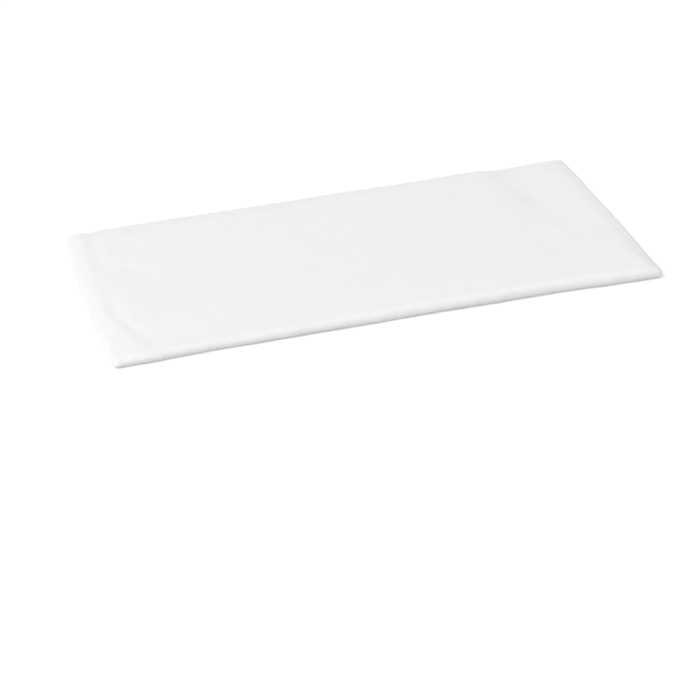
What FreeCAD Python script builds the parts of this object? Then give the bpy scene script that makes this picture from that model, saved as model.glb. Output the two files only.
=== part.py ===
import FreeCAD, Part
import enum
import math
import os

import Sketcher

# A paper napkin folded three times into a flat packet of eight layers.
#
# The open sheet is folded in half from front to back, then in half sideways, and then in half from front
# to back again. In the packet, the first fold closes two pairs of upper layers at the back, the second
# fold is the rounded left end, and the third fold is the rounded front edge. The right end shows the cut
# edges of all eight layers, and the back shows the cut edges of the four lower layers.
#
# X runs along the packet, Y from its front edge to its back, and Z up. The origin is the middle of the
# packet's footprint, on the surface that the napkin lies on.

NODE = "folded_napkin"

# Driving dimensions in millimetres.
SIZES = {
    "open_width": 380.0,  # side of the open sheet along X, which one fold halves
    "open_depth": 380.0,  # side of the open sheet along Y, which two folds halve
    "paper_thickness": 0.38,  # thickness of the sheet
    "layer_gap": 0.28,  # air between two layers of the packet at rest
    "edge_step": 0.9,  # how far each cut edge at the back lies inside the one above it
}

# What follows from them.
WALL = "dims.paper_thickness"
GAP = "dims.layer_gap"
STEP = "dims.edge_step"
PITCH = f"({WALL} + {GAP})"  # from one layer to the next
HALF_LENGTH = "(dims.open_width / 4)"
HALF_DEPTH = "(dims.open_depth / 8)"

# The first fold turns one layer round the gap inside a pair.
PAIR_INNER = f"({GAP} / 2)"
PAIR_OUTER = f"({PAIR_INNER} + {WALL})"
PAIR_AXIS = f"({HALF_DEPTH} - {PAIR_OUTER})"  # how far back the fold's axis lies

# The second fold turns two layers, one inside the other, about the middle of four.
OUTER_TURN_INNER = f"({PITCH} + {PAIR_INNER})"
OUTER_TURN_OUTER = f"({PITCH} + {PAIR_OUTER})"
END_AXIS = f"({HALF_LENGTH} - {OUTER_TURN_OUTER})"  # how far left the fold's axis lies
FOUR_MIDDLE = f"(2 * {PITCH})"  # from the middle of all eight layers to the middle of four

# The third fold turns four layers about the middle of all eight.
FRONT_RADIUS = f"({FOUR_MIDDLE} + {OUTER_TURN_OUTER})"
FRONT_AXIS = f"({HALF_DEPTH} - {FRONT_RADIUS})"  # how far forward the fold's axis lies

FOLD_DEGREES = 180
LOWER_CUT_EDGES = 4
UNDERSIDE = "0"  # height of the face that the packet lies on


class Point(enum.IntEnum):
    """The points of a line or an arc, in the order in which a sketch numbers them."""

    START = enum.auto()
    END = enum.auto()
    CENTRE = enum.auto()


# A sketch's own X axis, and its origin, which is the start of that axis.
X_AXIS_INDEX = -1
ORIGIN = (X_AXIS_INDEX, Point.START)


def add_sizes(doc):
    """The sheet that holds each driving dimension under its name."""
    sheet = doc.addObject("Spreadsheet::Sheet", "dims")
    for row, (name, size) in enumerate(SIZES.items(), start=1):
        sheet.set(f"A{row}", name)
        sheet.set(f"B{row}", str(size))
        sheet.setAlias(f"B{row}", name)
    doc.recompute()


def add_sketch(body, name, plane, **shift):
    """A sketch on one of the body's own planes, moved in the plane's own axes."""
    sketch = body.newObject("Sketcher::SketchObject", name)
    support = next(item for item in body.Origin.OriginFeatures if item.Role == plane)
    sketch.AttachmentSupport = [(support, "")]
    sketch.MapMode = "FlatFace"
    for axis, expression in shift.items():
        sketch.setExpression(f"AttachmentOffset.Base.{axis}", expression)
    return sketch


def size_of(sketch, expression):
    """What an expression on the sizes comes to."""
    return float(sketch.evalExpression(expression))


def drive(sketch, name, constraint, expression):
    """Adds a dimension under a name and ties it to an expression."""
    index = sketch.addConstraint(constraint)
    sketch.renameConstraint(index, name)
    sketch.setExpression(f"Constraints.{name}", expression)


def drive_place(sketch, name, direction, point, expression, side=1):
    """Ties a point to its distance from the origin along one axis, on the positive or negative side."""
    ends = (*ORIGIN, *point) if side > 0 else (*point, *ORIGIN)
    distance = size_of(sketch, expression)
    drive(sketch, name, Sketcher.Constraint(direction, *ends, distance), expression)


def half_circle(centre, radius, first_degrees):
    """An arc that turns half a circle anticlockwise from its first angle."""
    first = math.radians(first_degrees)
    circle = Part.Circle(centre, FreeCAD.Vector(0, 0, 1), radius)
    return Part.ArcOfCircle(circle, first, first + math.pi)


def draw_hairpin(sketch, name, side, inner, outer):
    """Paper that turns back on itself at the second fold and ends in two cut edges at the right end.

    The sketch's X axis is the middle of the packet, and side says whether the hairpin is above or
    below it.
    """
    inner_radius, outer_radius = size_of(sketch, inner), size_of(sketch, outer)
    turn_x, cut_x = -size_of(sketch, END_AXIS), size_of(sketch, HALF_LENGTH)
    middle = side * size_of(sketch, FOUR_MIDDLE)
    centre = FreeCAD.Vector(turn_x, middle, 0)

    def line(start_x, start_height, end_x, end_height):
        start = FreeCAD.Vector(start_x, middle + start_height, 0)
        end = FreeCAD.Vector(end_x, middle + end_height, 0)
        return sketch.addGeometry(Part.LineSegment(start, end))

    top = line(cut_x, outer_radius, turn_x, outer_radius)
    outer_arc = sketch.addGeometry(half_circle(centre, outer_radius, 90))
    bottom = line(turn_x, -outer_radius, cut_x, -outer_radius)
    lower_cut = line(cut_x, -outer_radius, cut_x, -inner_radius)
    lower_inside = line(cut_x, -inner_radius, turn_x, -inner_radius)
    inner_arc = sketch.addGeometry(half_circle(centre, inner_radius, 90))
    upper_inside = line(turn_x, inner_radius, cut_x, inner_radius)
    upper_cut = line(cut_x, inner_radius, cut_x, outer_radius)

    joins = [
        ("Tangent", top, Point.END, outer_arc, Point.START),
        ("Tangent", outer_arc, Point.END, bottom, Point.START),
        ("Coincident", bottom, Point.END, lower_cut, Point.START),
        ("Coincident", lower_cut, Point.END, lower_inside, Point.START),
        ("Tangent", lower_inside, Point.END, inner_arc, Point.END),
        ("Tangent", inner_arc, Point.START, upper_inside, Point.START),
        ("Coincident", upper_inside, Point.END, upper_cut, Point.START),
        ("Coincident", upper_cut, Point.END, top, Point.START),
        ("Coincident", outer_arc, Point.CENTRE, inner_arc, Point.CENTRE),
    ]
    directions = [("Horizontal", edge) for edge in (top, bottom, lower_inside, upper_inside)]
    directions += [("Vertical", edge) for edge in (lower_cut, upper_cut)]
    for rule in joins + directions:
        sketch.addConstraint(Sketcher.Constraint(*rule))

    drive(sketch, f"{name}_inner", Sketcher.Constraint("Radius", inner_arc, inner_radius), inner)
    drive(sketch, f"{name}_outer", Sketcher.Constraint("Radius", outer_arc, outer_radius), outer)
    drive_place(sketch, f"{name}_turn", "DistanceX", (outer_arc, Point.CENTRE), END_AXIS, side=-1)
    drive_place(sketch, f"{name}_middle", "DistanceY", (outer_arc, Point.CENTRE), FOUR_MIDDLE, side)
    drive_place(sketch, f"{name}_lower_cut", "DistanceX", (lower_cut, Point.START), HALF_LENGTH)
    drive_place(sketch, f"{name}_upper_cut", "DistanceX", (upper_cut, Point.START), HALF_LENGTH)


def add_four_layers(body, name, side):
    """Four layers in section, above or below the axis of the third fold, which is the sketch's X axis."""
    sketch = add_sketch(body, name, "XZ_Plane", y=FRONT_RADIUS, z=FRONT_AXIS)
    draw_hairpin(sketch, "inner_turn", side, PAIR_INNER, PAIR_OUTER)
    draw_hairpin(sketch, "outer_turn", side, OUTER_TURN_INNER, OUTER_TURN_OUTER)
    return sketch


def draw_half_ring(sketch, name, side):
    """The back edge of one pair of layers, closed by the first fold."""
    inner_radius, outer_radius = size_of(sketch, PAIR_INNER), size_of(sketch, PAIR_OUTER)
    centre = FreeCAD.Vector(size_of(sketch, PAIR_AXIS), side * size_of(sketch, PITCH), 0)

    def end_face(direction):
        inside = centre + FreeCAD.Vector(0, direction * inner_radius, 0)
        outside = centre + FreeCAD.Vector(0, direction * outer_radius, 0)
        return sketch.addGeometry(Part.LineSegment(inside, outside))

    outer_arc = sketch.addGeometry(half_circle(centre, outer_radius, -90))
    inner_arc = sketch.addGeometry(half_circle(centre, inner_radius, -90))
    lower_face = end_face(-1)
    upper_face = end_face(1)
    rules = [
        ("Coincident", inner_arc, Point.START, lower_face, Point.START),
        ("Coincident", lower_face, Point.END, outer_arc, Point.START),
        ("Coincident", inner_arc, Point.END, upper_face, Point.START),
        ("Coincident", upper_face, Point.END, outer_arc, Point.END),
        ("Coincident", outer_arc, Point.CENTRE, inner_arc, Point.CENTRE),
        ("Vertical", outer_arc, Point.CENTRE, outer_arc, Point.START),
        ("Vertical", outer_arc, Point.CENTRE, outer_arc, Point.END),
        ("Vertical", lower_face),
        ("Vertical", upper_face),
    ]
    for rule in rules:
        sketch.addConstraint(Sketcher.Constraint(*rule))

    drive(sketch, f"{name}_inner", Sketcher.Constraint("Radius", inner_arc, inner_radius), PAIR_INNER)
    drive(sketch, f"{name}_outer", Sketcher.Constraint("Radius", outer_arc, outer_radius), PAIR_OUTER)
    drive_place(sketch, f"{name}_axis", "DistanceX", (outer_arc, Point.CENTRE), PAIR_AXIS)
    drive_place(sketch, f"{name}_middle", "DistanceY", (outer_arc, Point.CENTRE), PITCH, side)


def add_pair_edges(body, name, *sides):
    """Back edges of the upper pairs, with the axis of the second fold as the sketch's X axis."""
    fold_height = f"({FRONT_RADIUS} + {FOUR_MIDDLE})"
    sketch = add_sketch(body, name, "YZ_Plane", y=fold_height, z=f"-{END_AXIS}")
    for side in sides:
        draw_half_ring(sketch, "upper_pair" if side > 0 else "lower_pair", side)
    return sketch


def add_stairs(body, name):
    """What is trimmed off the lower cut edges, so that each one lies a step inside the one above."""
    sketch = add_sketch(body, name, "YZ_Plane")
    clear = f"({HALF_DEPTH} + {STEP})"
    treads = [f"({HALF_DEPTH} - {count} * {STEP})" for count in range(LOWER_CUT_EDGES - 1, 0, -1)]
    ceilings = [f"({count} * {PITCH} - {PAIR_INNER})" for count in range(1, LOWER_CUT_EDGES)]
    outline = [(clear, UNDERSIDE)]
    for tread, ceiling in zip(treads, ceilings):
        outline += [(tread, outline[-1][1]), (tread, ceiling)]
    outline.append((clear, outline[-1][1]))

    corners = [FreeCAD.Vector(size_of(sketch, y), size_of(sketch, z), 0) for y, z in outline]
    for corner, following in zip(corners, corners[1:] + corners[:1]):
        sketch.addGeometry(Part.LineSegment(corner, following))
    for edge in range(len(corners)):
        following = (edge + 1) % len(corners)
        sketch.addConstraint(Sketcher.Constraint("Coincident", edge, Point.END, following, Point.START))
        sketch.addConstraint(Sketcher.Constraint("Vertical" if edge % 2 else "Horizontal", edge))

    sketch.addConstraint(Sketcher.Constraint("PointOnObject", 0, Point.START, X_AXIS_INDEX))
    drive_place(sketch, "clear", "DistanceX", (0, Point.START), clear)
    for count, (tread, ceiling) in enumerate(zip(treads, ceilings)):
        riser = 2 * count + 1
        drive_place(sketch, f"tread_{count}", "DistanceX", (riser, Point.START), tread)
        drive_place(sketch, f"ceiling_{count}", "DistanceY", (riser, Point.END), ceiling)
    return sketch


def add_pad(body, name, sketch, length, backwards):
    """Paper that runs straight from a section."""
    pad = body.newObject("PartDesign::Pad", name)
    pad.Profile = sketch
    pad.Reversed = backwards
    pad.setExpression("Length", length)
    return pad


def add_fold(body, name, sketch):
    """Paper that turns half a circle about its section's X axis."""
    fold = body.newObject("PartDesign::Revolution", name)
    fold.Profile = sketch
    fold.ReferenceAxis = (sketch, ["H_Axis"])
    fold.Angle = FOLD_DEGREES
    return fold


def build_napkin(doc):
    """The folded sheet, from the back edge of its upper layers round to the cut edges below them."""
    body = doc.addObject("PartDesign::Body", NODE)
    body.Label = NODE

    turned_edge = add_pair_edges(body, "turned_back_edge", -1)
    add_fold(body, "back_edge_turn", turned_edge)
    straight_edges = add_pair_edges(body, "straight_back_edges", -1, 1)
    add_pad(body, "back_edges", straight_edges, f"{HALF_LENGTH} + {END_AXIS}", backwards=False)

    upper_section = add_four_layers(body, "upper_section", 1)
    add_pad(body, "upper_layers", upper_section, f"{FRONT_AXIS} + {PAIR_AXIS}", backwards=True)
    add_fold(body, "front_fold", upper_section)
    lower_section = add_four_layers(body, "lower_section", -1)
    add_pad(body, "lower_layers", lower_section, f"{FRONT_AXIS} + {HALF_DEPTH}", backwards=True)

    trim = body.newObject("PartDesign::Pocket", "cut_edge_steps")
    trim.Profile = add_stairs(body, "stairs")
    trim.Type = "ThroughAll"
    trim.SideType = "Symmetric"
    body.Tip = trim
    return body


def check(doc, body):
    """Stops if anything failed to build, or if the trim took nothing away."""
    failed = [item.Label for item in doc.Objects if {"Invalid", "Error"} & set(item.State)]
    if failed:
        raise RuntimeError(f"failed to build: {failed}")
    shape = body.Shape
    if shape.isNull() or not shape.isValid() or len(shape.Solids) != 1:
        raise RuntimeError(f"{body.Label} is not one valid solid")
    if shape.Volume >= doc.getObject("lower_layers").Shape.Volume:
        raise RuntimeError("the cut edges were not trimmed")


def main():
    doc = FreeCAD.newDocument("napkin")
    add_sizes(doc)
    napkin = build_napkin(doc)
    doc.recompute()
    check(doc, napkin)

    os.makedirs("parts", exist_ok=True)
    napkin.Shape.exportStep(f"parts/{napkin.Label}.step")
    box = napkin.Shape.optimalBoundingBox()
    print(f"{napkin.Label}: {box.XLength:.2f} x {box.YLength:.2f} x {box.ZLength:.2f} mm")
    print(f"lowest corner: {box.XMin:.2f} {box.YMin:.2f} {box.ZMin:.2f}")
    print(f"paper: {napkin.Shape.Volume:.0f} cubic mm")


main()
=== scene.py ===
# %% [markdown]
# # A folded paper napkin
#
# The object is one square sheet of soft white napkin paper, folded in half three times. The packet
# that comes out is flat, twice as long as it is wide, and has eight layers. This lesson folds the
# sheet in code, lets the packet relax the way soft paper does, and gives it a fibrous white finish.
#
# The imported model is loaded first, as a fixed frame. The napkin that is made here has to lie exactly
# where its solid lies, so nearly every size below is read from that frame.

# %% Load the fixed frame
import math

import bpy
import numpy as np
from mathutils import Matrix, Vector


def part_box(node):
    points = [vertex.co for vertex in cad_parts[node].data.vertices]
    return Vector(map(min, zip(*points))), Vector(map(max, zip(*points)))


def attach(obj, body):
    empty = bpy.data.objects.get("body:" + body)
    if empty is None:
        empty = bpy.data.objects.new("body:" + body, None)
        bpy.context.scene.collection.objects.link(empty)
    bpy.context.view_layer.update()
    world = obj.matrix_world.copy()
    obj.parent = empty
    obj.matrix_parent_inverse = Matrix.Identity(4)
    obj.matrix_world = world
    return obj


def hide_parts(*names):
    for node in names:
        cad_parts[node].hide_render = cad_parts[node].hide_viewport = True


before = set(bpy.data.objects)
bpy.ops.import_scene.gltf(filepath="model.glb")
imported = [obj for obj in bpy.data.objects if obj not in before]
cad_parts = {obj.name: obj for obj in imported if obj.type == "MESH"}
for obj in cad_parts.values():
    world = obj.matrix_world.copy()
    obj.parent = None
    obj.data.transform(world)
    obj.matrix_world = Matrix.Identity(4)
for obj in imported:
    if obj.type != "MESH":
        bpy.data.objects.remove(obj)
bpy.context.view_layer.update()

# %% [markdown]
# ## Sizes
#
# Lengths are in millimetres while the sheet is being folded, because the layers are a few tenths of
# a millimetre apart and such numbers are easier to read that way. They become metres at the very end.
#
# The layers lie a fixed pitch apart. Eight layers and seven spaces fill the height of the packet, so
# the pitch follows from the height and from the thickness of the paper.

# %% Name the sizes of the packet
MM = 0.001
NODE = "folded_napkin"
node_low, node_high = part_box(NODE)
length, width, height = ((node_high[axis] - node_low[axis]) / MM for axis in range(3))

PAPER = 0.38  # thickness of the sheet
LAYERS = 8
PITCH = (height - PAPER) / (LAYERS - 1)
HALF_LENGTH, HALF_WIDTH = length / 2, width / 2

# Where the axis of each fold lies: half a packet out, less the room that its outermost turn takes.
PAIR_AXIS_Y = HALF_WIDTH - (PITCH + PAPER) / 2
END_AXIS_X = -(HALF_LENGTH - (3 * PITCH + PAPER) / 2)
FRONT_AXIS_Y = -(HALF_WIDTH - (7 * PITCH + PAPER) / 2)

# %% [markdown]
# ## Walking along the sheet
#
# A folded sheet is easiest to describe by walking over it. Walking across the open sheet, the path
# in the packet is straight, then turns half a circle at a fold, and is straight again. The places
# where the mesh gets a line are called stations. They lie close together in the turns and beside the
# edges, where the paper bends, and further apart on the flat.

# %% Places along one straight run
EDGE_ROOM = 4.0  # beside a fold or a cut edge, the stations lie closer together
EDGE_STEPS = 5
FLAT_STEP = 1.5
BLOCK = 4  # stations that one large face spans where nothing shows


def straight_run(start, end):
    """Stations from start to end, dense near both, with a whole number of blocks between."""
    direction = math.copysign(1, end - start)
    inner_start = start + direction * EDGE_ROOM
    inner_end = end - direction * EDGE_ROOM
    steps = BLOCK * round(abs(inner_end - inner_start) / (FLAT_STEP * BLOCK))
    return np.concatenate(
        [
            np.linspace(start, inner_start, EDGE_STEPS, endpoint=False),
            np.linspace(inner_start, inner_end, steps, endpoint=False),
            np.linspace(inner_end, end, EDGE_STEPS + 1),
        ]
    )


def turn_angles(start, end, steps):
    """The angles inside a turn, without its two ends, which belong to the straight runs."""
    return np.linspace(start, end, steps + 1)[1:-1]


# %% [markdown]
# ## Stations across the length
#
# Along the length there is one fold, the second. The path starts at the cut right end, runs left,
# turns about the second fold's axis and runs back to the right end. The angle of the turn is kept for
# every station: none before the fold, half a circle after it.

# %% Stations along the length
END_TURN_STEPS = 8
leg = straight_run(HALF_LENGTH, END_AXIS_X)
end_turn = turn_angles(0, math.pi, END_TURN_STEPS)

run_x = np.concatenate([leg, np.full(end_turn.size, END_AXIS_X), leg[::-1]])
end_angle = np.concatenate([np.zeros(leg.size), end_turn, np.full(leg.size, math.pi)])
toward_cut_end = (run_x - END_AXIS_X) / (HALF_LENGTH - END_AXIS_X)
print(run_x.size, "stations along the length")

# %% [markdown]
# ## Stations across the width
#
# Across the width there are three folds. The path starts at the back in the lowest layer, comes to
# the front, turns up round the third fold, goes to the back on the uppermost layer, turns round the
# first fold and comes all the way back, inside of where it went.

# %% Stations along the width
FRONT_TURN_STEPS = 16
PAIR_TURN_STEPS = 8
lower_leg = straight_run(HALF_WIDTH, FRONT_AXIS_Y)
upper_leg = straight_run(FRONT_AXIS_Y, PAIR_AXIS_Y)
front_turn = turn_angles(math.pi, 0, FRONT_TURN_STEPS)
pair_turn = turn_angles(0, math.pi, PAIR_TURN_STEPS)


def there_and_back(lower, turn, upper, pair):
    """Values along the whole path, from those along its first half and those in the first fold."""
    return np.concatenate([lower, turn, upper, pair, upper[::-1], turn[::-1], lower[::-1]])


run_y = there_and_back(
    lower_leg,
    np.full(front_turn.size, FRONT_AXIS_Y),
    upper_leg,
    np.full(pair_turn.size, PAIR_AXIS_Y),
)
front_angle = there_and_back(
    np.full(lower_leg.size, math.pi), front_turn, np.zeros(upper_leg.size), np.zeros(pair_turn.size)
)
toward_back_cut = there_and_back(
    (lower_leg - FRONT_AXIS_Y) / (HALF_WIDTH - FRONT_AXIS_Y),
    np.zeros(front_turn.size),
    np.zeros(upper_leg.size),
    np.zeros(pair_turn.size),
)
half_path = lower_leg.size + front_turn.size + upper_leg.size
pair_angle = np.concatenate([np.zeros(half_path), pair_turn, np.full(half_path, math.pi)])
print(run_y.size, "stations along the width")

# %% [markdown]
# ## Folding
#
# With three angles and two distances for each crossing of stations, the folds are plain geometry.
# Each fold carries the ones before it: the first fold sets how far a layer lies from the axis of the
# second, and the second sets how far it lies from the axis of the third. Layers on the outside of a
# fold use up more paper in the turn, so their cut edges end a little short. Folders call that creep.
#
# The sheet's two faces lie half the paper's thickness to each side, along the surface's normal.

# %% Fold the sheet
END_CREEP = 0.5  # at the cut end, each layer further out in the fold ends this much shorter
BACK_STEP = 0.9  # each cut edge at the back lies this far inside the one above it
INNERMOST = 0.5  # pitches from a fold's axis to the layer nearest to it


def folded(side):
    """Positions of one face of the folded sheet: side is 1, -1, or 0 for the middle of the paper."""
    turn_e = end_angle[:, None]
    turn_f = front_angle[None, :]
    turn_p = pair_angle[None, :]

    from_end_axis = PITCH + PITCH / 2 * np.cos(turn_p)
    end_creep = END_CREEP * (from_end_axis / PITCH - INNERMOST)
    above_end_axis = from_end_axis * np.cos(turn_e)
    x = run_x[:, None] - end_creep * toward_cut_end[:, None] - from_end_axis * np.sin(turn_e)

    from_front_axis = 2 * PITCH + above_end_axis
    back_creep = BACK_STEP * (from_front_axis / PITCH - INNERMOST)
    y = run_y[None, :] + PITCH / 2 * np.sin(turn_p) - back_creep * toward_back_cut[None, :]
    y = y - from_front_axis * np.sin(turn_f)
    z = height / 2 + from_front_axis * np.cos(turn_f)

    facing = np.cos(turn_e) * np.cos(turn_p)
    normal_x = -np.sin(turn_e) * np.cos(turn_p) + 0 * turn_f  # 0 for the full shape of the grid
    normal_y = np.sin(turn_p) - np.sin(turn_f) * facing
    normal_z = np.cos(turn_f) * facing
    reach = side * PAPER / 2
    return np.stack([x + reach * normal_x, y + reach * normal_y, z + reach * normal_z], axis=-1)


outer_face, inner_face, middle = folded(1), folded(-1), folded(0)
print("folded:", outer_face.reshape(-1, 3).min(0).round(2), outer_face.reshape(-1, 3).max(0).round(2))

# %% [markdown]
# ## One mesh from two faces
#
# The middle of the six inner layers never shows, so it gets large faces. A large face that touches
# fine ones has a corner at each of their corners along that side, so the mesh stays closed. Beside the
# folded end the inner layers stay fine too. A sharp crease will run there, and a large face would not
# follow it, so the layer above would sink through it.

# %% Find the flat stretches that never show
CREASE_BLOCKS = 2  # blocks that stay fine beside the folded end
steps_x = (leg.size - 1 - 2 * EDGE_STEPS) // BLOCK - CREASE_BLOCKS
steps_lower = (lower_leg.size - 1 - 2 * EDGE_STEPS) // BLOCK
steps_upper = (upper_leg.size - 1 - 2 * EDGE_STEPS) // BLOCK

second_leg = leg.size + end_turn.size
upper_start = lower_leg.size + front_turn.size
upper_again = half_path + pair_turn.size
lower_again = upper_again + upper_leg.size + front_turn.size
starts_x = (EDGE_STEPS, second_leg + EDGE_STEPS + CREASE_BLOCKS * BLOCK)
starts_y = (
    (EDGE_STEPS, steps_lower),
    (upper_start + EDGE_STEPS, steps_upper),
    (upper_again + EDGE_STEPS, steps_upper),
    (lower_again + EDGE_STEPS, steps_lower),
)
# The first leg's first two stretches are the underside and the top of the packet, and they do show.
hidden = [
    (first_x, steps_x, first_y, count_y)
    for leg_number, first_x in enumerate(starts_x)
    for stretch, (first_y, count_y) in enumerate(starts_y)
    if not (leg_number == 0 and stretch < 2)
]
print(len(hidden), "hidden stretches")


# %% Faces of one side
def block_corners(first_x, first_y, sides):
    """Grid corners round one block, anticlockwise, with the corners of fine neighbours put in."""
    last_x, last_y = first_x + BLOCK, first_y + BLOCK
    left, top, right, bottom = sides
    round_it = []
    round_it += [(first_x, first_y + n) for n in (range(BLOCK) if left else (0,))]
    round_it += [(first_x + n, last_y) for n in (range(BLOCK) if top else (0,))]
    round_it += [(last_x, last_y - n) for n in (range(BLOCK) if right else (0,))]
    round_it += [(last_x - n, first_y) for n in (range(BLOCK) if bottom else (0,))]
    return round_it


def grid_faces():
    """Faces over the whole grid of stations, as lists of grid corners."""
    fine = np.ones((run_x.size - 1, run_y.size - 1), bool)
    faces = []
    for first_x, count_x, first_y, count_y in hidden:
        fine[first_x : first_x + count_x * BLOCK, first_y : first_y + count_y * BLOCK] = False
        for step_x in range(count_x):
            for step_y in range(count_y):
                sides = (step_x == 0, step_y == count_y - 1, step_x == count_x - 1, step_y == 0)
                faces.append(block_corners(first_x + step_x * BLOCK, first_y + step_y * BLOCK, sides))
    for i, j in np.argwhere(fine):
        faces.append([(i, j), (i, j + 1), (i + 1, j + 1), (i + 1, j)])
    return faces


def border_corners():
    """Grid corners round the sheet's four cut edges, in the order in which they are walked."""
    last_x, last_y = run_x.size - 1, run_y.size - 1
    corners = [(0, j) for j in range(last_y)]
    corners += [(i, last_y) for i in range(last_x)]
    corners += [(last_x, j) for j in range(last_y, 0, -1)]
    corners += [(i, 0) for i in range(last_x, 0, -1)]
    return corners


faces = grid_faces()
border = border_corners()
print(len(faces), "faces a side,", len(border), "corners round the edge")

# %% [markdown]
# ## Letting the packet relax
#
# Real paper doesn't keep to circles and straight lines. The shape is relaxed by moving space itself:
# every point moves by an amount that depends only on where it is, and neighbours move almost alike.
# Layers that didn't touch before can't cross after, however much the packet swells, sags or wrinkles.
#
# What changes the height multiplies it, so that the underside stays on the table and the uppermost
# layer moves most. Random unevenness is a sum of long soft waves in many directions, from a fixed
# seed. Places in this part are millimetres from the middle of the packet.


# %% Soft random waves, smooth steps and valleys
NEARLY_NOTHING = 0.001  # keeps a division by a distance from failing at distance 0


def soft_waves(seed, shortest, longest, count=16):
    """A function of place that wanders smoothly about 0, with a typical height of 1."""
    rng = np.random.default_rng(seed)
    wavelengths = rng.uniform(shortest, longest, count)
    headings = rng.uniform(0, 2 * math.pi, count)
    phases = rng.uniform(0, 2 * math.pi, count)

    def wander(x, y):
        total = 0 * x
        for wavelength, heading, phase in zip(wavelengths, headings, phases):
            along = x * math.cos(heading) + y * math.sin(heading)
            total = total + np.sin(2 * math.pi * along / wavelength + phase)
        return total / math.sqrt(count / 2)

    return wander


def rise(distance, reach):
    """0 where distance is 0 or less, 1 where it is reach or more, and smooth between."""
    share = np.clip(distance / reach, 0, 1)
    return share * share * (3 - 2 * share)


def valley(x, y, start, end, left_width, right_width):
    """1 along a line from start to end, fading to 0 over a width of its own on each side."""
    line = np.subtract(end, start)
    share = np.clip(((x - start[0]) * line[0] + (y - start[1]) * line[1]) / line.dot(line), 0, 1)
    to_right = x - start[0] - share * line[0]
    apart = np.hypot(to_right, y - start[1] - share * line[1])
    to_right_share = to_right / np.maximum(apart, NEARLY_NOTHING)
    fading = left_width + (right_width - left_width) * (1 + to_right_share) / 2
    return np.exp(-((apart / fading) ** 2))


# %% [markdown]
# ## Sides, crease and dents
#
# The paper itself is never quite even, so broad waves and small cockles run over all of it.
#
# The packet is thinner toward its sides, where nothing holds the layers apart. At the cut end the paper
# falls off at once, most of all at the front corner. At the folded end the wedge is longer and ends at
# a crease, which turns away from that end toward the front. The paper between the two swells a little.
#
# A dent in soft paper has a short steep flank and a long flat one. So each dent is a valley along a
# line, with a width of its own to each side.

# %% Broad waves and small cockles
BROAD_HEIGHT, COCKLE_HEIGHT = 0.010, 0.004  # shares of the height
broad_waves = soft_waves(11, 45, 110)
cockle_waves = soft_waves(12, 10, 24)


def unevenness(x, y):
    """The share of the height that the paper's own waves add or take away."""
    return BROAD_HEIGHT * broad_waves(x, y) + COCKLE_HEIGHT * cockle_waves(x, y)


# %% How far the sides sink
# Each side sinks by a share of the height, over a strip of some millimetres.
RIGHT_SINK, RIGHT_STRIP = 0.135, 6.5
CORNER_SINK, CORNER_START, CORNER_REACH = 0.16, 12.0, 32.0  # this much more at the front corner
LEFT_SINK_BACK, LEFT_SINK_FRONT = 0.28, 0.38
FRONT_SINK, FRONT_STRIP = 0.10, 15.0
SLACK_SINK, SLACK_STRIP = 0.15, 11.0  # this much more toward the folded end, where the front is slack
SLACK_START, SLACK_REACH = 40.0, 120.0
BACK_SINK, BACK_STRIP = 0.12, 7.0
RIGHT_CURVE, LEFT_CURVE = 1.3, 1.5  # powers: the higher, the more the side sinks at its very edge


def side_sink(x, y, crease):
    """The share of the height that is lost toward the four sides."""
    right = RIGHT_SINK + CORNER_SINK * rise(-y - CORNER_START, CORNER_REACH)
    left = LEFT_SINK_BACK + (LEFT_SINK_FRONT - LEFT_SINK_BACK) * rise(HALF_WIDTH - y, HALF_LENGTH)
    slack = rise(SLACK_START - x, SLACK_REACH)
    front = FRONT_SINK + SLACK_SINK * slack
    front_strip = FRONT_STRIP + SLACK_STRIP * slack
    return np.sqrt(
        (right * rise(x - (HALF_LENGTH - RIGHT_STRIP), RIGHT_STRIP) ** RIGHT_CURVE) ** 2
        + (left * np.clip(1 - (x + HALF_LENGTH) / crease, 0, 1) ** LEFT_CURVE) ** 2
        + (front * rise(-y - (HALF_WIDTH - front_strip), front_strip)) ** 2
        + (BACK_SINK * rise(y - (HALF_WIDTH - BACK_STRIP), BACK_STRIP)) ** 2
    )


# %% The crease beside the folded end
CREASE_FROM_END = 8.5  # at the back
CREASE_NEARS, NEARS_START, NEARS_REACH = 1.0, 25.0, 40.0  # it comes nearer to the end first
CREASE_TURNS, TURNS_START, TURNS_REACH = 9.0, 12.0, 34.0  # and then turns away from it
TURNS_CURVE = 1.5
CREASE_DEPTH, CREASE_WIDTH = 0.072, 2.3
CREASE_PLAY = 0.35  # its depth varies by this share
CREASE_FRONT_SHARE, FRONT_FADE_START, FRONT_FADE_REACH = 0.4, 46.0, 20.0  # it fades at the front
ROLL_RISE = 0.026  # the paper swells between the crease and the folded end
ROLL_MIDDLE, ROLL_WIDTH = 0.55, 0.28  # as shares of the way to the crease
crease_waves = soft_waves(14, 30, 70)


def crease_distance(y):
    """How far from the folded end its crease lies."""
    nears = rise(NEARS_START - y, NEARS_REACH)
    turns = rise(-TURNS_START - y, TURNS_REACH) ** TURNS_CURVE
    return CREASE_FROM_END - CREASE_NEARS * nears + CREASE_TURNS * turns


def crease_sink(x, y, crease):
    """The share of the height that is lost in the crease."""
    fade = rise(y + FRONT_FADE_START, FRONT_FADE_REACH)
    depth = CREASE_DEPTH * (1 + CREASE_PLAY * crease_waves(x, y))
    depth = depth * (CREASE_FRONT_SHARE + (1 - CREASE_FRONT_SHARE) * fade)
    return depth * np.exp(-(((x + HALF_LENGTH - crease) / CREASE_WIDTH) ** 2))


def roll_rise(x, crease):
    """The share of the height that is gained where the paper swells beside the crease."""
    share = (x + HALF_LENGTH) / crease
    return ROLL_RISE * np.exp(-(((share - ROLL_MIDDLE) / ROLL_WIDTH) ** 2))


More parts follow.
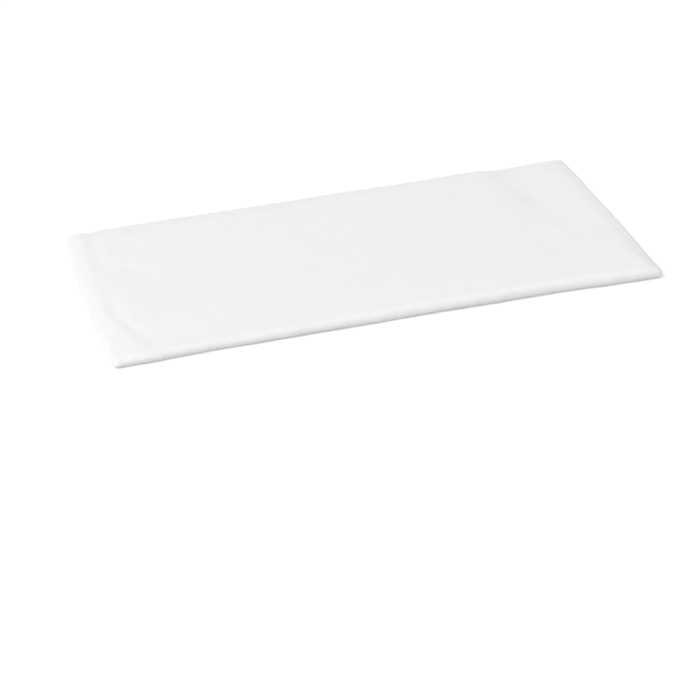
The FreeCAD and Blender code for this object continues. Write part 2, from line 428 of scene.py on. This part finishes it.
# %% The height of the packet from place to place
DENTS = (
    # start, end, width to the left, width to the right, depth as a share of the height
    ((69.5, 47.0), (72.5, 23.0), 5.6, 12.0, 0.165),
    ((73.0, 17.0), (72.0, 3.0), 4.0, 9.0, 0.095),
    ((86.0, 12.0), (80.0, -12.0), 6.0, 6.0, 0.022),
    ((92.0, 47.0), (92.0, 39.0), 5.0, 5.0, 0.050),
    ((-81.0, 40.0), (-71.0, 28.0), 3.3, 3.3, 0.045),
    ((-87.0, 20.0), (-72.0, 6.0), 3.4, 3.4, 0.045),
    ((-79.0, -8.0), (-66.0, -13.0), 3.0, 3.0, 0.020),
    ((-58.0, -24.0), (-55.0, -33.0), 3.0, 3.0, 0.018),
    ((-12.0, 18.0), (-9.0, 6.0), 3.0, 3.0, 0.014),
    ((20.0, 40.0), (44.0, 44.0), 5.0, 5.0, 0.016),
)


def thickness_share(x, y):
    """The packet's height at a place, as a share of its full height."""
    crease = crease_distance(y)
    share = 1 - side_sink(x, y, crease) + unevenness(x, y)
    share = share - crease_sink(x, y, crease) + roll_rise(x, crease)
    for start, end, left_width, right_width, depth in DENTS:
        share = share - depth * valley(x, y, start, end, left_width, right_width)
    return share


print("height at the middle", (height * thickness_share(0.0, 0.0)).round(2), "mm")

# %% [markdown]
# ## Uneven layers and sides
#
# A point's level is its height in the stiff packet, from 0 at the underside to 1 at the top. Short
# wrinkles run along the front fold, where the paper was pressed over, and are strongest midway up.
#
# The gaps between the layers differ from place to place. The layers inside are moved up and down by
# waves over the height, which are zero at the underside and at the top, and stay small enough that two
# layers never meet.
#
# The sides wander a little as well, each layer in its own way. The front fold is drawn in at the middle
# of its length, and so are the two corners at the folded end.

# %% Wrinkles along the front fold
PUCKER, PUCKER_STRIP = 0.10, 6.0
fold_waves = soft_waves(13, 5, 16)


def midway(level):
    """0 at the underside and at the top, 1 halfway up."""
    return 4 * level * (1 - level)


def pucker(x, y, level):
    """How far a wrinkle pushes the front fold out."""
    front = rise(-y - (HALF_WIDTH - PUCKER_STRIP), PUCKER_STRIP)
    return PUCKER * front * fold_waves(x, 0 * y) * midway(level)


# %% Move the layers up and down
GAP_PLAY = 0.085  # how far each kind of wave moves a layer
GAP_TURNS, GAP_TURNS_2 = 2.9, 1.7  # waves over the height
GAP_START = 1.3  # where the first kind of wave starts, in radians
gap_waves = soft_waves(21, 25, 70)
gap_waves_2 = soft_waves(22, 18, 50)


def relaxed_height(x, y, z):
    """How high a point lies once the paper has relaxed."""
    level = z / height
    between = np.sin(2 * math.pi * level * GAP_TURNS + GAP_START) * np.tanh(gap_waves(x, y))
    between = between + np.sin(2 * math.pi * level * GAP_TURNS_2) * np.tanh(gap_waves_2(x, y))
    return (z + GAP_PLAY * midway(level) * between) * thickness_share(x, y)


# %% Move the sides in and out
EDGE_PLAY = 0.16  # how far the sides wander
LEVELS_X, LEVELS_Y = 11, 14  # how much the wandering differs from layer to layer
LEAN = 0.4  # at the back corners the top moves this far, and the underside as far the other way
FRONT_DRAW = 1.3  # how far the front fold is drawn in
CORNER_DRAW = 1.8  # and the two corners at the folded end
DRAW_REACH = 30.0  # how deep into the packet the drawing in is felt
edge_waves = soft_waves(23, 26, 90)
edge_waves_2 = soft_waves(24, 26, 90)


def relaxed_x(x, y, level):
    """Where a point lies along the packet once the paper has relaxed."""
    wander = EDGE_PLAY * edge_waves_2(y, LEVELS_X * level) * rise(np.abs(x), HALF_LENGTH)
    toward_corner = np.minimum((y / HALF_WIDTH) ** 2, 1)
    drawn_in = CORNER_DRAW * toward_corner * rise(-x - (HALF_LENGTH - DRAW_REACH), DRAW_REACH)
    return x + wander + drawn_in


def relaxed_y(x, y, level):
    """Where a point lies across the packet once the paper has relaxed."""
    wander = EDGE_PLAY * edge_waves(x, LEVELS_Y * level) * rise(np.abs(y), HALF_WIDTH)
    lean = LEAN * (2 * level - 1) * rise(y + HALF_WIDTH, width) * x / HALF_LENGTH
    toward_middle = np.clip(1 - (x / HALF_LENGTH) ** 2, 0, 1)
    drawn_in = FRONT_DRAW * toward_middle * rise(-y - (HALF_WIDTH - DRAW_REACH), DRAW_REACH)
    return y + wander - pucker(x, y, level) + lean + drawn_in


# %% Relax the whole packet
def relaxed(points):
    """Where the points of the stiff packet lie once the paper has relaxed."""
    x, y, z = points[..., 0], points[..., 1], points[..., 2]
    level = z / height
    moved = [relaxed_x(x, y, level), relaxed_y(x, y, level), relaxed_height(x, y, z)]
    return np.stack(moved, axis=-1)


outer_face, inner_face, middle = relaxed(outer_face), relaxed(inner_face), relaxed(middle)
print("top of the packet up to", outer_face[..., 2].max().round(2), "mm")

# %% [markdown]
# ## Places on the open sheet
#
# The paper's pattern has to run on round every fold. So each station's distance along the open sheet
# is added up, step by step, to be stored on the mesh for the material to read.

# %% Distances along the open sheet
def walked(path):
    """Distance along a path of places, from its start."""
    steps = np.linalg.norm(np.diff(path, axis=0), axis=1)
    return np.concatenate([[0], np.cumsum(steps)])


along_x = walked(middle[:, 0])
along_y = walked(middle[0])
print("open sheet measured", along_x[-1].round(1), "x", along_y[-1].round(1), "mm")

# %% [markdown]
# ## The cut edges
#
# A cut edge of soft paper is blunt and a little rounded, so each one gets a third row of corners
# between the two faces, which stands out by a fraction of the thickness.
#
# The mesh holds the corners of the outer face first, then those of the inner face, then that rim. Grid
# corners inside the large faces aren't used, so the used ones get a running number.

# %% Number the corners
CUT_EDGE_BULGE = 0.25  # as a share of the paper's thickness


def corner_numbers():
    """A running number for each grid corner that a face uses, and -1 for the others."""
    used = np.zeros((run_x.size, run_y.size), bool)
    for face in faces:
        for i, j in face:
            used[i, j] = True
    numbers = np.full(used.shape, -1)
    numbers[used] = np.arange(used.sum())
    return numbers


def cut_edge():
    """The rounded rim: the middle of the paper, pushed out past the two faces."""
    rows = []
    last_x, last_y = run_x.size - 1, run_y.size - 1
    for i, j in border:
        inward = (min(max(i, 1), last_x - 1), min(max(j, 1), last_y - 1))
        outward = middle[i, j] - middle[inward]
        rows.append(middle[i, j] + outward / np.linalg.norm(outward) * CUT_EDGE_BULGE * PAPER)
    return np.array(rows)


corner_number = corner_numbers()
used = corner_number >= 0
side_corners = int(used.sum())
rim_corners = len(border)
print(side_corners, "corners a side,", rim_corners, "on the rim")


# %% Join the two faces into one closed mesh
def rim_faces():
    """Two rows of faces round the cut edges, from the outer face over the rim to the inner face."""
    rim = []
    for n in range(rim_corners):
        after = (n + 1) % rim_corners
        here, there = int(corner_number[border[n]]), int(corner_number[border[after]])
        rim_here, rim_there = 2 * side_corners + n, 2 * side_corners + after
        rim.append([there, here, rim_here, rim_there])
        rim.append([rim_there, rim_here, here + side_corners, there + side_corners])
    return rim


def make_sheet_mesh(name):
    """A closed mesh of both faces and the cut edges between them."""
    places = np.concatenate([outer_face[used], inner_face[used], cut_edge()]) * MM
    outer = [[int(corner_number[corner]) for corner in face] for face in faces]
    inner = [[corner + side_corners for corner in reversed(face)] for face in outer]
    mesh = bpy.data.meshes.new(name)
    mesh.from_pydata(places.tolist(), [], outer + inner + rim_faces())
    mesh.update()
    mesh.shade_smooth()
    return mesh


mesh = make_sheet_mesh("napkin_sheet")
print("mesh:", len(mesh.vertices), "corners,", len(mesh.polygons), "faces")


# %% Store what the material reads
def store_flat_places(mesh):
    """Where each corner lies on the open sheet. The inner face is one paper thickness further up."""
    flat = np.stack(np.broadcast_arrays(along_x[:, None], along_y[None, :], 0), axis=-1)
    border_flat = np.array([flat[corner] for corner in border])
    other_side = np.array([0, 0, PAPER])
    places = np.concatenate([flat[used], flat[used] + other_side, border_flat + other_side / 2])
    place = mesh.attributes.new("flat_place", "FLOAT_VECTOR", "POINT")
    place.data.foreach_set("vector", (places * MM).ravel())


def store_cut_edges(mesh):
    """1 on the rim of the cut edges, 0 on both faces."""
    cut = mesh.attributes.new("cut_edge", "FLOAT", "POINT")
    on_rim = np.concatenate([np.zeros(2 * side_corners), np.ones(rim_corners)])
    cut.data.foreach_set("value", on_rim)


store_flat_places(mesh)
store_cut_edges(mesh)
print("stored:", mesh.attributes["flat_place"].name, "and", mesh.attributes["cut_edge"].name)

# %% [markdown]
# ## A map for the finish
#
# A model that leaves Blender carries its finish as pictures, which are laid on it through a map. All
# eight layers share one picture, and six of them never show. So the map is the open sheet itself, but
# stretched: the stations of the top, the underside and the folds get most of the room, and the hidden
# ones share what is left. The sheet's other face and the cut edges have narrow strips of their own.

# %% Lay out the map
HIDDEN_SHARE = 0.12  # room for hidden paper, against 1 for the top of the packet
UNDERSIDE_SHARE = 0.55
FRONT_FOLD_SHARE = 1.2
EDGE_STRIPS = ((0.001, 0.009), (0.011, 0.019), (0.021, 0.029), (0.031, 0.039))
INNER_STRIP = (0.045, 0.125)
OUTER_STRIP = (0.130, 0.998)


def stretched(distances, room):
    """Places from 0 to 1 for stations, with each step as wide as it is long, times its room."""
    steps = np.diff(distances) * room
    return np.concatenate([[0], np.cumsum(steps)]) / steps.sum()


def within(strip, share):
    """A place inside a strip of the map."""
    return strip[0] + (strip[1] - strip[0]) * share


def map_corners():
    """Map places for every corner of every face, in the order in which the mesh holds them."""
    room_x = np.full(run_x.size - 1, HIDDEN_SHARE)
    room_x[:second_leg] = 1
    room_y = np.full(run_y.size - 1, HIDDEN_SHARE)
    room_y[: upper_start - 1] = FRONT_FOLD_SHARE
    room_y[: lower_leg.size - 1] = UNDERSIDE_SHARE
    room_y[upper_start : upper_again - 1] = 1
    across, up = stretched(along_x, room_x), stretched(along_y, room_y)

    corners = [(1 - across[i], within(OUTER_STRIP, up[j])) for face in faces for i, j in face]
    corners += [(across[i], within(INNER_STRIP, up[j])) for face in faces for i, j in reversed(face)]
    side_steps = (run_y.size - 1, run_x.size - 1) * 2
    for strip, steps in zip(EDGE_STRIPS, side_steps):
        low, middle_line, high = within(strip, 0), within(strip, 0.5), within(strip, 1)
        for step in range(steps):
            here, there = step / steps, (step + 1) / steps
            for upper, lower in ((high, middle_line), (middle_line, low)):
                corners += [(there, upper), (here, upper), (here, lower), (there, lower)]
    return np.array(corners)


finish_map = mesh.uv_layers.new(name="OFBake")
map_places = map_corners()
finish_map.data.foreach_set("uv", map_places.ravel())
print("map corners:", len(map_places), "of", len(mesh.loops))

# %% [markdown]
# ## The napkin as an object
#
# The mesh becomes one object. It takes the place of the one solid of the imported model.

# %% Make it an object
napkin = bpy.data.objects.new("napkin_sheet", mesh)
bpy.context.scene.collection.objects.link(napkin)
print("triangles:", sum(len(face.vertices) - 2 for face in mesh.polygons))

# %% Put the napkin where its solid is
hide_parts(NODE)
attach(napkin, "root")

# %% [markdown]
# ## The finish
#
# Napkin paper is a loose felt of soft white fibres, each a few millimetres long and a few hundredths
# of a millimetre thick. Close up, they cross in all directions, and the felt is a little denser in
# some places than in others. It has no gloss, and light goes a short way into it.
#
# The fibres are a shader node group. A noise that is stretched a lot in one direction gives streaks.
# Several of those, turned to different headings, give crossing fibres. The pattern is laid out on the
# open sheet, so it bends round the folds with the paper and has no seams at them.


# %% Node helpers
def add_node(tree, kind, **settings):
    """A new node with its settings filled in."""
    node = tree.nodes.new(kind)
    for name, value in settings.items():
        setattr(node, name, value)
    return node


def feed(tree, sockets, values):
    """Give each input its value: a number, or the output of another node."""
    for socket, value in zip(sockets, values):
        if isinstance(value, (int, float)):
            socket.default_value = value
        else:
            tree.links.new(value, socket)


def calculate(tree, operation, first, second):
    """A math node."""
    node = add_node(tree, "ShaderNodeMath", operation=operation)
    feed(tree, node.inputs, (first, second))
    return node.outputs[0]


def spread(tree, value, from_range, to_range, **settings):
    """Stretch a value from one range to another."""
    node = add_node(tree, "ShaderNodeMapRange", **settings)
    feed(tree, node.inputs, (value, *from_range, *to_range))
    return node.outputs[0]


# %% Group: crossing fibres
FIBRE_STRETCH = 11  # how many times longer than wide
FIBRE_HEADINGS = (8, 37, 71, 103, 139, 166)  # degrees
FIBRE_SHIFT = (7.3, 3.1, 5.7)  # from one heading's part of the noise to the next one's
FIBRE_WOBBLE = 0.6
FIBRE_EDGE = 0.09  # a fibre is where the noise is at most this far from its middle value
NOISE_MIDDLE = 0.5
USUAL_FIBRES = 3000  # per metre


def add_streaks(group, place, number, heading):
    """Fibres that run one way, as ridges of 1 on 0."""
    turn = add_node(group, "ShaderNodeMapping", vector_type="TEXTURE")
    turn.inputs["Location"].default_value = [number * shift for shift in FIBRE_SHIFT]
    turn.inputs["Rotation"].default_value = (0, 0, math.radians(heading))
    turn.inputs["Scale"].default_value = (FIBRE_STRETCH, 1, 1)
    group.links.new(place, turn.inputs["Vector"])
    noise = add_node(group, "ShaderNodeTexNoise")
    noise.inputs["Scale"].default_value = 1
    noise.inputs["Detail"].default_value = 1
    noise.inputs["Distortion"].default_value = FIBRE_WOBBLE
    group.links.new(turn.outputs[0], noise.inputs["Vector"])
    from_middle = calculate(group, "SUBTRACT", noise.outputs[0], NOISE_MIDDLE)
    apart = calculate(group, "ABSOLUTE", from_middle, 0)
    return spread(group, apart, (0, FIBRE_EDGE), (1, 0), interpolation_type="SMOOTHSTEP")


def build_fibres():
    """A node group that gives the height of a felt of crossing fibres, from 0 to about 1."""
    group = bpy.data.node_groups.new("crossing fibres", "ShaderNodeTree")
    face = group.interface
    face.new_socket("Place", in_out="INPUT", socket_type="NodeSocketVector")
    fineness = face.new_socket("Fibres per metre", in_out="INPUT", socket_type="NodeSocketFloat")
    fineness.default_value = USUAL_FIBRES
    face.new_socket("Height", in_out="OUTPUT", socket_type="NodeSocketFloat")
    given = add_node(group, "NodeGroupInput")
    result = add_node(group, "NodeGroupOutput")

    scaled = add_node(group, "ShaderNodeVectorMath", operation="SCALE")
    group.links.new(given.outputs["Place"], scaled.inputs[0])
    group.links.new(given.outputs["Fibres per metre"], scaled.inputs["Scale"])
    felt = 0
    for number, heading in enumerate(FIBRE_HEADINGS):
        streaks = add_streaks(group, scaled.outputs[0], number, heading)
        share = calculate(group, "MULTIPLY", streaks, 1 / len(FIBRE_HEADINGS))
        felt = calculate(group, "ADD", felt, share)
    group.links.new(felt, result.inputs["Height"])
    return group


fibres = build_fibres()
print("fibre group:", len(fibres.nodes), "nodes")

# %% [markdown]
# ## The paper material
#
# The cloudiness of the felt is a soft noise some millimetres wide. It changes the colour by about one
# part in a hundred, which is what the eye sees as paper and not as plastic. Fibres and clouds both
# lift the surface a few hundredths of a millimetre in the bump. At the cut edges, loose fibre ends
# make the surface rougher, and a mask on the mesh says where those are.

# %% Paper material
PAPER_COLOUR = (0.935, 0.933, 0.931, 1)
SHADE_COLOUR = (0.900, 0.898, 0.896, 1)
PAPER_SETTINGS = {
    "Specular IOR Level": 0.25,
    "Sheen Weight": 0.12,
    "Sheen Roughness": 0.6,
    "Subsurface Weight": 0.2,
    "Subsurface Radius": (1.0, 0.92, 0.85),
    "Subsurface Scale": 0.0005,  # metres
}
MIX_A, MIX_B, MIX_RESULT = 6, 7, 2  # where a mix node keeps its colours
FINE_FIBRES, LONG_FIBRES = 4200, 1500  # per metre
LONG_SHARE = 0.8  # how much the long fibres count, against 1 for the fine ones
CLOUDS, CLOUD_DETAIL = 170, 5  # per metre
FLUFF, FLUFF_DETAIL = 1400, 3  # per metre: loose fibre ends
NOISE_ROUGHNESS = 0.6
CLOUD_IN_COLOUR, CLOUD_IN_RELIEF = 1.1, 1.6
DENSITIES = (0.5, 1.6)  # of the felt, from the darker colour to the lighter one
FELT_HEIGHTS, ROUGHNESSES = (0, 1.5), (0.97, 0.84)
FACE_FLUFF = 0.4  # loose fibre ends on both faces; a cut edge has 1 more
FELT_HEIGHT = 0.00007  # metres


def add_felt(tree, place, fibres_per_metre):
    """One layer of crossing fibres in a material."""
    felt = add_node(tree, "ShaderNodeGroup")
    felt.node_tree = fibres
    felt.inputs["Fibres per metre"].default_value = fibres_per_metre
    tree.links.new(place, felt.inputs["Place"])
    return felt.outputs["Height"]


def add_noise(tree, place, scale, detail):
    """A soft noise over the open sheet; the scale is in lumps per metre."""
    noise = add_node(tree, "ShaderNodeTexNoise")
    noise.inputs["Scale"].default_value = scale
    noise.inputs["Detail"].default_value = detail
    noise.inputs["Roughness"].default_value = NOISE_ROUGHNESS
    tree.links.new(place, noise.inputs["Vector"])
    return noise.outputs[0]


def build_paper():
    """Soft white napkin paper."""
    paper = bpy.data.materials.new("napkin paper")
    paper.use_nodes = True
    tree = paper.node_tree
    shader = tree.nodes["Principled BSDF"]
    for name, value in PAPER_SETTINGS.items():
        shader.inputs[name].default_value = value

    place = add_node(tree, "ShaderNodeAttribute", attribute_name="flat_place").outputs["Vector"]
    cut = add_node(tree, "ShaderNodeAttribute", attribute_name="cut_edge").outputs["Fac"]
    long_fibres = calculate(tree, "MULTIPLY", add_felt(tree, place, LONG_FIBRES), LONG_SHARE)
    felt = calculate(tree, "ADD", add_felt(tree, place, FINE_FIBRES), long_fibres)
    cloud = add_noise(tree, place, CLOUDS, CLOUD_DETAIL)
    fluff = add_noise(tree, place, FLUFF, FLUFF_DETAIL)

    dense = calculate(tree, "ADD", felt, calculate(tree, "MULTIPLY", cloud, CLOUD_IN_COLOUR))
    colour = add_node(tree, "ShaderNodeMix", data_type="RGBA")
    colour.inputs[MIX_A].default_value = SHADE_COLOUR
    colour.inputs[MIX_B].default_value = PAPER_COLOUR
    tree.links.new(spread(tree, dense, DENSITIES, (0, 1)), colour.inputs[0])
    tree.links.new(colour.outputs[MIX_RESULT], shader.inputs["Base Color"])
    tree.links.new(spread(tree, felt, FELT_HEIGHTS, ROUGHNESSES), shader.inputs["Roughness"])

    loose = calculate(tree, "MULTIPLY", fluff, calculate(tree, "ADD", cut, FACE_FLUFF))
    relief = calculate(tree, "ADD", felt, loose)
    raised = calculate(tree, "MULTIPLY", cloud, CLOUD_IN_RELIEF)
    bump = add_node(tree, "ShaderNodeBump")
    bump.inputs["Strength"].default_value = 1.0
    bump.inputs["Distance"].default_value = FELT_HEIGHT
    tree.links.new(calculate(tree, "ADD", relief, raised), bump.inputs["Height"])
    tree.links.new(bump.outputs[0], shader.inputs["Normal"])
    return paper


mesh.materials.append(build_paper())
print("finish:", mesh.materials[0].name)

# %% [markdown]
# ## Camera
#
# The camera stands to the front and a little to the left, and looks down at about thirty degrees with
# a long lens, which keeps the packet's long edges nearly parallel. It leans a little to one side, and
# so the packet gets the slant that it has in the photograph.

# %% Set up the camera
CAMERA_AT = (-0.1711, -0.6415, 0.3392)
CAMERA_LOOKS_AT = (-0.0206, -0.0682, 0.0050)
CAMERA_LEAN = -2.3  # degrees about the line of sight
LENS = 110  # millimetres


def aim(item, target):
    """Turn a camera or a lamp so that it faces the target."""
    direction = Vector(target) - item.location
    item.rotation_euler = direction.to_track_quat("-Z", "Y").to_euler()


camera_data = bpy.data.cameras.new("camera")
camera_data.lens = LENS
camera = bpy.data.objects.new("camera", camera_data)
camera.location = CAMERA_AT
aim(camera, CAMERA_LOOKS_AT)
camera.rotation_euler.rotate_axis("Z", math.radians(CAMERA_LEAN))
bpy.context.scene.collection.objects.link(camera)
bpy.context.scene.camera = camera
print("camera distance", round((camera.location - Vector(CAMERA_LOOKS_AT)).length, 3), "m")

# %% [markdown]
# ## Floor and light
#
# White paper only has a shape if the light differs from side to side. A large lamp stands at the left,
# above and a little in front. An even white sky fills the shadows. Together they light a level surface
# just under full white, so nothing on the paper is burnt out.
#
# The floor is pale, and to the camera it adds a little light of its own. That brings it to plain white
# where nothing shades it and still lets the napkin's shadow show.

# %% Floor
FLOOR_SIZE = 6.0  # metres
FLOOR_DROP = 0.00005  # the floor lies this far below the paper, so that they don't share a surface
FLOOR_COLOUR = (0.80, 0.80, 0.80, 1)
FLOOR_GLOW = 0.30


def seen_directly(tree):
    """1 where a ray comes from the camera, a reflection or clear glass, otherwise 0."""
    rays = add_node(tree, "ShaderNodeLightPath")
    seen = calculate(tree, "MAXIMUM", rays.outputs["Is Camera Ray"], rays.outputs["Is Glossy Ray"])
    return calculate(tree, "MAXIMUM", seen, rays.outputs["Is Transmission Ray"])


def build_floor_finish():
    """A pale matt floor that is plain white where no shadow falls."""
    finish = bpy.data.materials.new("pale floor")
    finish.use_nodes = True
    tree = finish.node_tree
    shader = tree.nodes["Principled BSDF"]
    shader.inputs["Base Color"].default_value = FLOOR_COLOUR
    shader.inputs["Roughness"].default_value = 1
    shader.inputs["Specular IOR Level"].default_value = 0
    shader.inputs["Emission Color"].default_value = (1, 1, 1, 1)
    glow = calculate(tree, "MULTIPLY", seen_directly(tree), FLOOR_GLOW)
    tree.links.new(glow, shader.inputs["Emission Strength"])
    return finish


reach = FLOOR_SIZE / 2
floor_mesh = bpy.data.meshes.new("floor")
corners = [(-reach, -reach, 0), (reach, -reach, 0), (reach, reach, 0), (-reach, reach, 0)]
floor_mesh.from_pydata(corners, [], [(0, 1, 2, 3)])
floor_mesh.materials.append(build_floor_finish())
floor = bpy.data.objects.new("floor", floor_mesh)
floor.location.z = -FLOOR_DROP
bpy.context.scene.collection.objects.link(floor)

# %% Light
SKY = 0.61  # how bright the sky is where it lights; to the camera it is 1
KEY_AT = (-1.42, -0.76, 1.98)
KEY_SIZE = 1.75  # metres
KEY_POWER = 38.9  # watts

world = bpy.data.worlds.new("white sky")
world.use_nodes = True
sky = world.node_tree.nodes["Background"]
sky.inputs["Color"].default_value = (1, 1, 1, 1)
brighter = calculate(world.node_tree, "MULTIPLY", seen_directly(world.node_tree), 1 - SKY)
brightness = calculate(world.node_tree, "ADD", brighter, SKY)
world.node_tree.links.new(brightness, sky.inputs["Strength"])
bpy.context.scene.world = world

key_data = bpy.data.lights.new("key lamp", "AREA")
key_data.size = KEY_SIZE
key_data.energy = KEY_POWER
key = bpy.data.objects.new("key lamp", key_data)
key.location = KEY_AT
aim(key, (0, 0, 0))
bpy.context.scene.collection.objects.link(key)
bpy.context.scene.view_settings.view_transform = "Standard"
